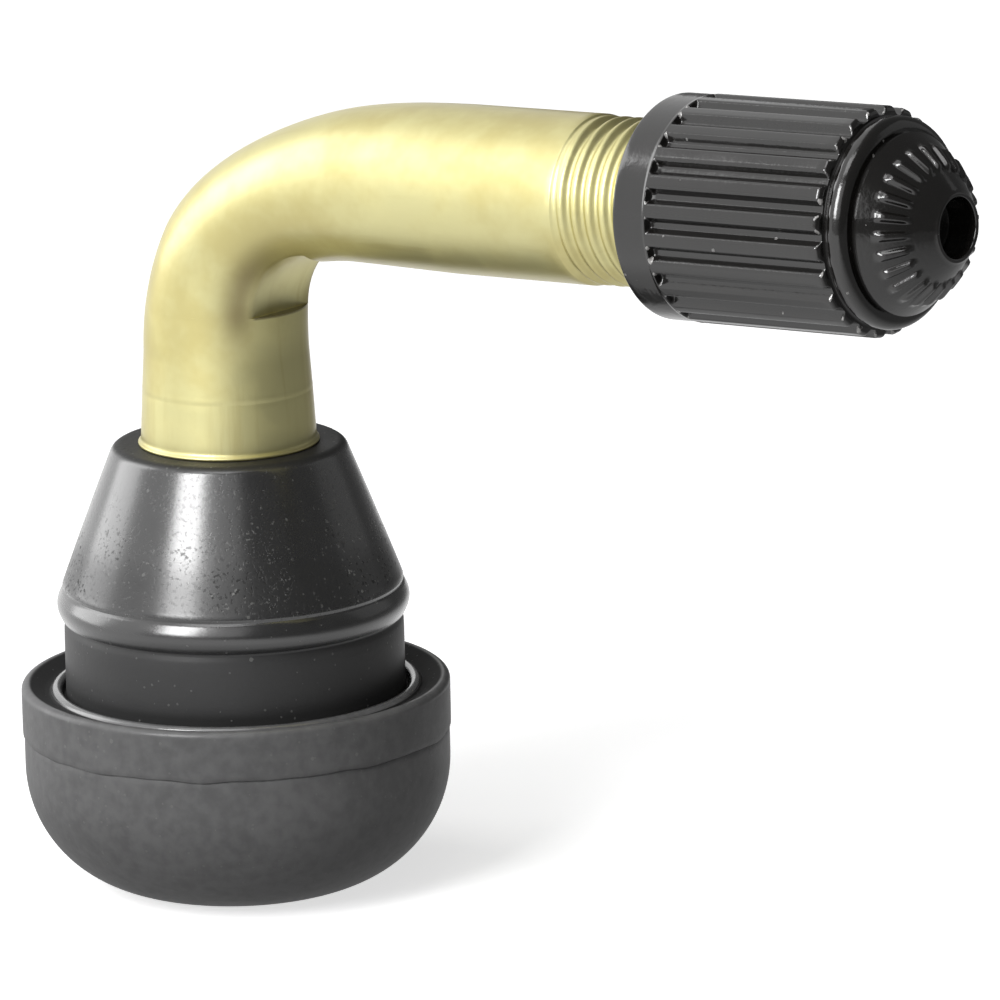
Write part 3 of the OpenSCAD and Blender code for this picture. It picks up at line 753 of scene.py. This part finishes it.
def cap_profile():
    """Half outline of the cap as (s, r), from the hollow's roof to the tip, its first rib and its crown."""
    inside = [(CAP_ROOF, 0.0), (CAP_ROOF, 1.2), (CAP_ROOF, 2.2), (CAP_ROOF - 0.06, SEAL_ROOM_R)]
    inside += [(CAP_LAND, SEAL_ROOM_R), (CAP_LAND, CAP_BORE_R - 0.05), (CAP_LAND - 0.06, CAP_BORE_R)]
    inside += [(s, CAP_BORE_R) for s in np.linspace(37, 28, 12)]
    inside += [(27.55, CAP_BORE_R), (27.4, 4.1), (27.24, 4.26), (CAP_OPEN, 4.34)]
    band = [(CAP_OPEN, 4.6), (CAP_OPEN, 4.94)]
    band += arc((CAP_OPEN + BAND_ROUND, BAND_R - BAND_ROUND), BAND_ROUND, 170, 90, 6)
    band += [(s, BAND_R) for s in (27.6, 28.0, 28.4, 28.7, 28.84)]
    ribs = [(s, mix(BAND_R, RIB_R, fade_in(s, BAND_END, 0.14))) for s in np.arange(BAND_END, 29.5, 0.03)]
    ribs += [(s, RIB_R) for s in np.linspace(29.55, 38.38, 22)]
    ribs += [(38.44, RIB_R - 0.012), (38.5, RIB_R - 0.045), (38.55, RIB_R - 0.1), (38.585, RIB_R - 0.16)]
    ribs += [(RIB_END, RIB_R - 0.24), (RIB_END, 4.75)]
    crown = [(s, r) for r, s in bow(CROWN_FOOT, CROWN_TOP, CROWN_SWELL, 30)]
    below_crown = inside + band + ribs + SHOULDER
    domed = slice(len(below_crown), len(below_crown) + len(crown))
    return np.array(below_crown + crown + TIP), len(inside + band), domed


def build_cap(plastic, grooves):
    profile, first_rib, domed = cap_profile()
    s, r = profile.T
    angle = (GROOVE_PHASE - 0.5 + GROOVE_TURN) / RIBS * TAU
    spokes = np.cos(angle)[:, None] * ARM_UP + np.sin(angle)[:, None] * ACROSS
    rings = [CORNER + along * ARM + radius * spokes for along, radius in profile]
    cap = ring_mesh("cap_ribbed", rings, False)
    shape = (len(profile), len(angle))
    rows = slice(first_rib, len(profile))
    ribbed = np.zeros(len(profile))
    ribbed[rows] = fade_in(s[rows], GROOVE_FROM, GROOVE_RISE) * np.where(s[rows] <= RIB_END, 1, 0)
    ribbed[rows] *= np.clip((r[rows] - RIB_R + GROOVE_DEPTH) / GROOVE_DEPTH, 0, 1)
    ridged = ease((RIDGE_OUT_R - r[domed]) / RIDGE_FADE) * fade_in(r[domed], RIDGE_IN_R, RIDGE_FADE)
    ribbed[domed] = -RIDGE_H / GROOVE_DEPTH * ridged
    out = np.broadcast_to(spokes, (*shape, 3)).copy()
    out[domed] = (spokes + ARM) / math.sqrt(2)
    near_end = np.max([1 - np.abs(s - place) / reach for place, reach in (GLINT_WEAR_LOW, GLINT_WEAR_HIGH)], axis=0)
    beside = 1 - np.abs(np.abs(GROOVE_PHASE % 1 - 0.5) - 0.25) / 0.2
    attribute(cap, "groove_phase", "FLOAT", np.broadcast_to(GROOVE_PHASE, shape))
    attribute(cap, "groove_weight", "FLOAT", np.broadcast_to(ribbed[:, None], shape))
    attribute(cap, "groove_out", "FLOAT_VECTOR", out)
    attribute(cap, "wear_and_glint_edge", "FLOAT", near_end.clip(0, 1)[:, None] * beside.clip(0, 1)[None])
    sink_grooves(cap, grooves, plastic, Depth=GROOVE_DEPTH * MM, Crest=0.36, Root=0.16)
    finish_mesh(cap, sharp_angle=40)
    return cap


# The rubber base: one closed outline turned round the axis, with an uneven mould line.

BASE_SIDES = 240
FLANGE_R = 10.2
FLANGE_H = 9.95
WALL_R = 10.13
BOTTOM_R = 6.0
RIM_ROUND = 0.3
RIM_IN = 9.84
DISH_Z = 9.6
NECK_R = 8.075
NECK_TOP = 13.1
NECK_RING_R, NECK_RING_Z = NECK_R + 0.46, 9.5
NECK_RING_ROUND = 0.27
BEAD_TOP = 14.52
BEAD_SWELL = 0.235
CONE_R = 8.13
COLLAR_R = 5.68
COLLAR_ROUND = 0.55
INLET_R = 1.7
INLET_EDGE = 0.12
STEM_HOLE_R = FOOT_R + LIP_W + 0.02

# The mould line: its height, how far from it the wall follows, and how it wanders up and down and in and out.
PARTING_Z = 7.5
PARTING_REACH = 0.35
PARTING_LIFT, LIFT_SEED, LIFT_WAVES = 0.05, 3, (2, 3, 5, 9, 14, 23)
PARTING_STEP, STEP_SEED, STEP_WAVES = 0.018, 8, (3, 7, 12, 19, 31, 44)
WALL_FROM = 9


def base_profile():
    """Closed outline of the rubber as (r, z): from the inlet up the outside, and down round the stem."""
    low = [(INLET_R, INLET_EDGE), (INLET_R + INLET_EDGE, 0)]
    low += line((INLET_R + 0.5, 0), (WALL_R - BOTTOM_R, 0), 4)
    low += arc((WALL_R - BOTTOM_R, BOTTOM_R), BOTTOM_R, -90, 0, 40)
    low += line((WALL_R, BOTTOM_R + 0.25), (WALL_R, PARTING_Z - 0.06), 5)
    seam = [(WALL_R - 0.015, PARTING_Z - 0.04), (WALL_R - 0.03, PARTING_Z), (WALL_R + 0.03, PARTING_Z + 0.03)]
    seam += [(FLANGE_R, PARTING_Z + 0.09)]
    wall = line((FLANGE_R, PARTING_Z + 0.3), (FLANGE_R, FLANGE_H - 0.3), 8)
    rim = arc((FLANGE_R - RIM_ROUND, FLANGE_H - 0.32), RIM_ROUND, 0, 84, 12)
    rim += [(RIM_IN, FLANGE_H - 0.02), (RIM_IN - 0.08, FLANGE_H - 0.045)]
    dish = line((RIM_IN - 0.16, FLANGE_H - 0.09), (NECK_RING_R + 0.46, DISH_Z - 0.1), 8)
    dish += [(NECK_RING_R + 0.35, DISH_Z - 0.11), (NECK_RING_R + 0.285, DISH_Z - 0.06)]
    dish += arc((NECK_RING_R, NECK_RING_Z), NECK_RING_ROUND, 18, 165, 14)
    moat = [(NECK_R + 0.18, DISH_Z - 0.18), (NECK_R + 0.13, DISH_Z - 0.3), (NECK_R + 0.06, DISH_Z - 0.33)]
    moat += [(NECK_R + 0.01, DISH_Z - 0.26), (NECK_R, DISH_Z - 0.1)]
    neck = line((NECK_R, DISH_Z + 0.1), (NECK_R - 0.005, NECK_TOP - 0.6), 8)
    neck += [(NECK_R - 0.015, NECK_TOP - 0.45), (NECK_R - 0.04, NECK_TOP - 0.3)]
    neck += [(NECK_R - 0.085, NECK_TOP - 0.16), (NECK_R - 0.1, NECK_TOP - 0.08)]
    neck += [(NECK_R - 0.075, NECK_TOP - 0.01)]
    bead = bow((NECK_R + 0.06, NECK_TOP + 0.03), (CONE_R, BEAD_TOP), BEAD_SWELL, 18)
    crease = [(CONE_R - 0.04, BEAD_TOP + 0.03), (CONE_R - 0.075, BEAD_TOP + 0.07)]
    crease += [(CONE_R - 0.07, BEAD_TOP + 0.13), (CONE_R - 0.04, BEAD_TOP + 0.19)]
    lean = math.degrees(math.atan2(CONE_R - COLLAR_R, BASE_TOP - BEAD_TOP))
    shoulder = arc((COLLAR_R - COLLAR_ROUND, BASE_TOP - COLLAR_ROUND), COLLAR_ROUND, lean, 90, 10)
    cone = bow((CONE_R - 0.04, BEAD_TOP + 0.25), shoulder[0], 0.02, 30)[:-1]
    top = line((COLLAR_R - COLLAR_ROUND - 0.15, BASE_TOP), (STEM_HOLE_R, BASE_TOP), 3)
    top += [(STEM_HOLE_R, BASE_TOP)]
    hole = [(ROOT_R, BASE_TOP - 0.01)]
    for z in reversed(ANCHOR_Z):
        hole += [(ROOT_R, z + ANCHOR_H), (ANCHOR_R, z + ANCHOR_H - ANCHOR_EDGE), (ANCHOR_R, z + ANCHOR_EDGE)]
        hole += [(ANCHOR_R - ANCHOR_EDGE, z), (ROOT_R, z)]
    hole += [(ROOT_R, ROOT_Z), (INLET_R, ROOT_Z), (INLET_R, ROOT_Z / 2)]
    flange = low + seam + wall + rim + dish + moat
    return np.array(flange + neck + bead + crease + cone + shoulder + top + hole)


def build_base(rubber):
    profile = base_profile()
    angle = np.arange(BASE_SIDES) / BASE_SIDES * TAU
    rings = np.zeros((len(profile), BASE_SIDES, 3))
    near = np.where(profile[:, 0] > WALL_FROM, hump((profile[:, 1] - PARTING_Z) / PARTING_REACH), 0)
    lift = wander(angle, LIFT_SEED, LIFT_WAVES) * PARTING_LIFT
    step = wander(angle, STEP_SEED, STEP_WAVES) * PARTING_STEP
    for i, (r, z) in enumerate(profile):
        radius = r + near[i] * np.minimum(step, FLANGE_R - r)
        rings[i, :, 0] = radius * np.cos(angle)
        rings[i, :, 1] = radius * np.sin(angle)
        rings[i, :, 2] = z + near[i] * lift
    base = ring_mesh("base_moulding", rings, True)
    finish_mesh(base, sharp_angle=38)
    base.data.materials.append(rubber)
    return base


# The spring of the valve core: a round wire wound between the barrel's floor and the pin's collar.
# When the pin is pressed, it keeps a share of its length.

WIRE_R = 0.12
SPRING_R = 0.8
SPRING_LOW = 24.8
SPRING_TOP = 31.37
SPRING_TURNS = 7
TURN_STEPS = 36
WIRE_SIDES = 12


def build_spring(steel):
    sides = np.arange(WIRE_SIDES)[:, None] / WIRE_SIDES * TAU
    rings = []
    for turned in np.linspace(0, SPRING_TURNS, SPRING_TURNS * TURN_STEPS + 1):
        out = math.cos(turned * TAU) * ARM_UP - math.sin(turned * TAU) * ACROSS
        middle = CORNER + mix(SPRING_LOW, SPRING_TOP, turned / SPRING_TURNS) * ARM + SPRING_R * out
        rings.append(middle + WIRE_R * (np.cos(sides) * out + np.sin(sides) * ARM))
    first, last = (np.broadcast_to(ring.mean(axis=0), ring.shape) for ring in (rings[0], rings[-1]))
    spring = ring_mesh("core_spring_wire", [first, *rings, last], False)
    finish_mesh(spring, sharp_angle=45)
    spring.data.materials.append(steel)
    return spring


grooves = groove_tree()

stem = build_stem(bent_brass(), grooves)
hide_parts("stem")
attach(stem, "valve_body")

base = build_base(moulded_rubber())
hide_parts("rubber_base")
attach(base, "valve_body")

cap = build_cap(glossy_plastic(), grooves)
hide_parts("cap")
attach(cap, "screw_cap")

spring = build_spring(drawn_steel())
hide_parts("core_spring")
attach(spring, "valve_body")
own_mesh(spring)

# The other pieces of the core keep their CAD shape and get a finish.
core_brass = turned_brass()
black_seal = seal_rubber("seal_rubber_black", (0.035, 0.035, 0.036), (0.02, 0.02, 0.021))
red_seal = seal_rubber("seal_rubber_red", (0.36, 0.05, 0.04), (0.26, 0.03, 0.025))
finishes = {
    "cap_seal": black_seal,
    "plunger_seal": black_seal,
    "barrel_seal": red_seal,
    "core_plug": core_brass,
    "core_barrel": core_brass,
    "core_pin": core_brass,
    "plunger_cup": core_brass,
}
for name, material in finishes.items():
    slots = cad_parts[name].data.materials
    slots.clear()
    slots.append(material)


# The stage, in metres: a pale floor, a white world, soft lamps and the camera of the photograph.

# The photograph's camera, found from the outlines: lengths in millimetres.
VIEW_TURN = math.radians(39.7473)
VIEW_LIFT = math.radians(13.5464)
VIEW_ROLL = math.radians(-1.2031)
VIEW_TARGET = np.array([8.064, 0, 21.508])
VIEW_DISTANCE = 403.2
VIEW_RIGHT = 6.4539
VIEW_UP = -1.9385
LENS = 310.78
SENSOR = 36

WHITE = (1, 1, 1, 1)
FLOOR_GREY = (0.86, 0.86, 0.86, 1)
FLOOR_BOUNCE = (0.25, 0.25, 0.25, 1)

# Lamps: degrees to the right of the camera and above the floor, distance, width and height, and watts.
LAMPS = (
    ("key_left", -39, 31, 0.5, 0.19, 0.27, 1.92),
    ("side_left", -112, 22, 0.5, 0.3, 0.4, 0.9),
    ("top_soft", -25, 68, 0.5, 0.26, 0.2, 0.4),
    ("front_fill", -14, 30, 0.7, 0.5, 0.4, 0.5),
    ("sheen_right", 108, 20, 0.5, 0.3, 0.3, 0.05),
)

# The dark tent: degrees to the right of the camera and above the floor, and its panels each way.
TENT_TURN, TENT_TURNS = (-60, 178), 24
TENT_LIFT, TENT_LIFTS = (-2, 88), 8


def towards(turn, lift):
    """The direction from the valve to a place that is turned to the right and lifted, in radians."""
    flat = math.cos(lift)
    return np.array([math.sin(turn) * flat, -math.cos(turn) * flat, math.sin(lift)])


def square(size, height):
    """Corners and face of a level square round the valve."""
    corners = ((-1, -1), (1, -1), (1, 1), (-1, 1))
    return [(x * size, y * size, height) for x, y in corners], [(0, 1, 2, 3)]


def from_foot(n):
    """How far a place of the stage lies from the foot of the valve."""
    place = n.add("ShaderNodeTexCoord").outputs["Object"]
    return n.add("ShaderNodeVectorMath", {0: place}, operation="LENGTH").outputs["Value"]


def aside(n):
    """How far a place of the stage lies to the right, as the camera sees it."""
    place = n.add("ShaderNodeTexCoord").outputs["Object"]
    across = (math.cos(VIEW_TURN), math.sin(VIEW_TURN), 0)
    return n.add("ShaderNodeVectorMath", {0: place, 1: across}, operation="DOT_PRODUCT").outputs["Value"]


def white_unless_lit(n, lit, seen):
    """Joins two closures: seen for camera, glossy and transmission rays, lit for all others."""
    ray = n.add("ShaderNodeLightPath").outputs
    direct = n.math("MAXIMUM", ray["Is Camera Ray"], ray["Is Glossy Ray"])
    direct = n.math("MAXIMUM", direct, ray["Is Transmission Ray"])
    return n.add("ShaderNodeMixShader", {0: direct, 1: lit, 2: seen}).outputs[0]


def build_world(level):
    world = bpy.data.worlds.new("white_room")
    world.use_nodes = True
    tree = world.node_tree
    n = Nodes(tree)
    lit = tree.nodes["Background"]
    lit.inputs["Color"].default_value = WHITE
    lit.inputs["Strength"].default_value = level
    seen = n.add("ShaderNodeBackground", {"Color": WHITE, "Strength": 1.0})
    surface = white_unless_lit(n, lit.outputs[0], seen.outputs[0])
    tree.links.new(surface, tree.nodes["World Output"].inputs["Surface"])
    bpy.context.scene.world = world


def build_floor(size):
    """A matt floor with a white glow that grows far away, where the lamps don't reach."""
    floor = new_piece("floor", *square(size, 0))
    material = bpy.data.materials.new("floor_pale")
    material.use_nodes = True
    tree = material.node_tree
    n = Nodes(tree)
    matt = tree.nodes["Principled BSDF"]
    matt.inputs["Base Color"].default_value = FLOOR_GREY
    matt.inputs["Roughness"].default_value = 0.9
    matt.inputs["Specular IOR Level"].default_value = 0.0
    strength = n.ramp(from_foot(n), 0.06, 0.5, 0.66, 1.0)
    glow = n.add("ShaderNodeEmission", {"Color": WHITE, "Strength": strength})
    both = n.add("ShaderNodeAddShader", {0: matt.outputs[0], 1: glow.outputs[0]})
    bounce = n.add("ShaderNodeBsdfDiffuse", {"Color": FLOOR_BOUNCE})
    surface = white_unless_lit(n, bounce.outputs[0], both.outputs[0])
    tree.links.new(surface, tree.nodes["Material Output"].inputs["Surface"])
    floor.data.materials.append(material)


def dark_card(name, verts, faces):
    """A card that only reflections show: gives its nodes and the strength of its glow."""
    card = new_piece(name, verts, faces)
    material = bpy.data.materials.new(name)
    material.use_nodes = True
    n = Nodes(material.node_tree)
    glow = n.add("ShaderNodeEmission", {"Color": WHITE})
    n.tree.links.new(glow.outputs[0], n.tree.nodes["Material Output"].inputs["Surface"])
    card.data.materials.append(material)
    card.visible_camera = False
    card.visible_diffuse = False
    card.visible_shadow = False
    card.visible_transmission = False
    return n, glow.inputs["Strength"]


def build_tent(radius, left, right):
    """A dark front half of the room that only reflections show; it stays white behind the valve."""
    verts, faces = [], []
    for i in range(TENT_TURNS + 1):
        turn = VIEW_TURN + math.radians(mix(*TENT_TURN, i / TENT_TURNS))
        for j in range(TENT_LIFTS + 1):
            lift = math.radians(mix(*TENT_LIFT, j / TENT_LIFTS))
            verts.append((radius * towards(turn, lift)).tolist())
    row = TENT_LIFTS + 1
    for i in range(TENT_TURNS):
        for a in range(i * row, i * row + TENT_LIFTS):
            faces.append((a, a + row, a + row + 1, a + 1))
    n, strength = dark_card("dark_tent", verts, faces)
    n.tree.links.new(n.ramp(aside(n), -0.65 * radius, 0.35 * radius, left, right), strength)


def build_floor_card(size, left, right, painted_shadow_level):
    """The floor as reflections show it: a grey at the left, one at the right, and darker near the valve as a
    painted shadow.
    """
    n, strength = dark_card("floor_card", *square(size, 0.0002))
    level = n.times(n.ramp(aside(n), 0.0, 0.09, left, right), n.ramp(from_foot(n), 0.01, 0.034, painted_shadow_level, 1.0))
    n.tree.links.new(level, strength)


def basis(right, up, back, place):
    """A world matrix from three axes and a place in metres."""
    m = Matrix.Identity(4)
    for i, axis in enumerate((right, up, back, place)):
        for j in range(3):
            m[j][i] = float(axis[j])
    return m


def level_axes(back):
    """The axes to the right and up of something that looks along the opposite of back, held level."""
    right = np.cross([0, 0, 1], back)
    right /= np.linalg.norm(right)
    return right, np.cross(back, right)


def build_camera():
    back = towards(VIEW_TURN, VIEW_LIFT)
    right = np.array([math.cos(VIEW_TURN), math.sin(VIEW_TURN), 0])
    place = VIEW_TARGET + back * VIEW_DISTANCE
    aim = VIEW_TARGET + VIEW_RIGHT * right + VIEW_UP * np.cross(back, right)
    back = (place - aim) / np.linalg.norm(place - aim)
    right, up = level_axes(back)
    c, s = math.cos(VIEW_ROLL), math.sin(VIEW_ROLL)
    data = bpy.data.cameras.new("camera")
    data.lens = LENS
    data.sensor_width = SENSOR
    data.clip_start = 0.02
    data.clip_end = 20
    camera = bpy.data.objects.new("camera", data)
    camera.matrix_world = basis(c * right + s * up, c * up - s * right, back, place * MM)
    bpy.context.scene.collection.objects.link(camera)
    bpy.context.scene.camera = camera


def build_lamp(name, turn, lift, distance, width, height, power):
    """A soft lamp aimed at the middle of the valve."""
    back = towards(VIEW_TURN + math.radians(turn), math.radians(lift))
    data = bpy.data.lights.new(name, "AREA")
    data.shape = "RECTANGLE"
    data.size = width
    data.size_y = height
    data.energy = power
    lamp = bpy.data.objects.new(name, data)
    lamp.matrix_world = basis(*level_axes(back), back, VIEW_TARGET * MM + back * distance)
    bpy.context.scene.collection.objects.link(lamp)


build_world(level=0.05)
build_floor(size=2.0)
build_camera()
build_tent(radius=0.9, left=0.48, right=0.1)
build_floor_card(size=0.9, left=1.0, right=0.18, painted_shadow_level=0.55)
for row in LAMPS:
    build_lamp(*row)
bpy.context.scene.view_settings.view_transform = "Standard"
